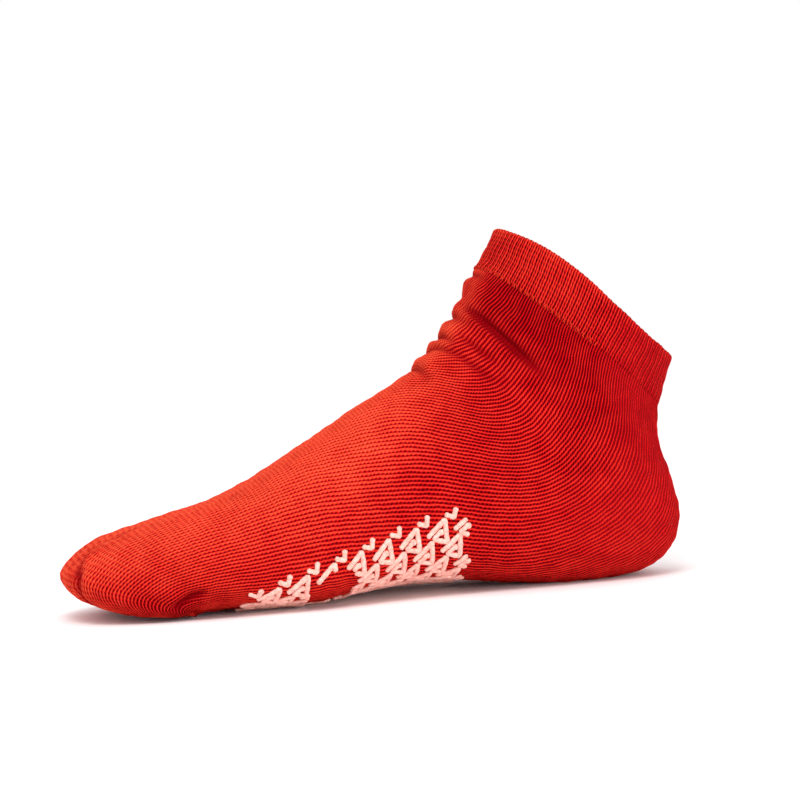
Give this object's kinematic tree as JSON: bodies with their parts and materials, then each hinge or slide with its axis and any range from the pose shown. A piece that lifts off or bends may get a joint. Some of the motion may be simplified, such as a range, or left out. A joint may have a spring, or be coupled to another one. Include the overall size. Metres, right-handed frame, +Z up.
{
  "type": "slipper sock",
  "caption": "Ankle-length knitted slipper sock with a ribbed cuff and a raised grip print of small triangles under the foot.",
  "frame": {"origin": "centre of the footprint, on the floor", "axes": "+Z up; the toe points to -X and the heel to +X; the inner side of the foot, with the big toe, faces -Y"},
  "size_m": [0.2394, 0.0924, 0.1362],
  "materials": {
    "red_knit": "matte knit",
    "coral_print": "satin"
  },
  "bodies": {
    "root": {"knit_sock": "red_knit", "print_1_01": "coral_print", "print_1_02": "coral_print", "print_1_03": "coral_print", "print_1_04": "coral_print", "print_1_05": "coral_print", "print_1_06": "coral_print", "print_1_07": "coral_print", "print_2_08": "coral_print", "print_2_09": "coral_print", "print_2_10": "coral_print", "print_2_11": "coral_print", "print_2_12": "coral_print", "print_2_13": "coral_print", "print_3_14": "coral_print", "print_3_15": "coral_print", "print_3_16": "coral_print", "print_3_17": "coral_print", "print_4_18": "coral_print", "print_4_19": "coral_print", "print_4_20": "coral_print", "print_4_21": "coral_print", "print_4_22": "coral_print", "print_4_23": "coral_print", "print_4_24": "coral_print", "print_5_25": "coral_print", "print_5_26": "coral_print", "print_5_27": "coral_print", "print_5_28": "coral_print", "print_5_29": "coral_print", "print_5_30": "coral_print", "print_5_31": "coral_print", "print_6_32": "coral_print", "print_6_33": "coral_print", "print_6_34": "coral_print", "print_6_35": "coral_print", "print_6_36": "coral_print", "print_6_37": "coral_print", "print_6_38": "coral_print", "print_7_39": "coral_print", "print_7_40": "coral_print", "print_7_41": "coral_print", "print_7_42": "coral_print", "print_7_43": "coral_print", "print_7_44": "coral_print", "print_7_45": "coral_print", "print_8_46": "coral_print", "print_8_47": "coral_print", "print_8_48": "coral_print", "print_8_49": "coral_print", "print_8_50": "coral_print", "print_8_51": "coral_print", "print_8_52": "coral_print"}
  },
  "joints": []
}
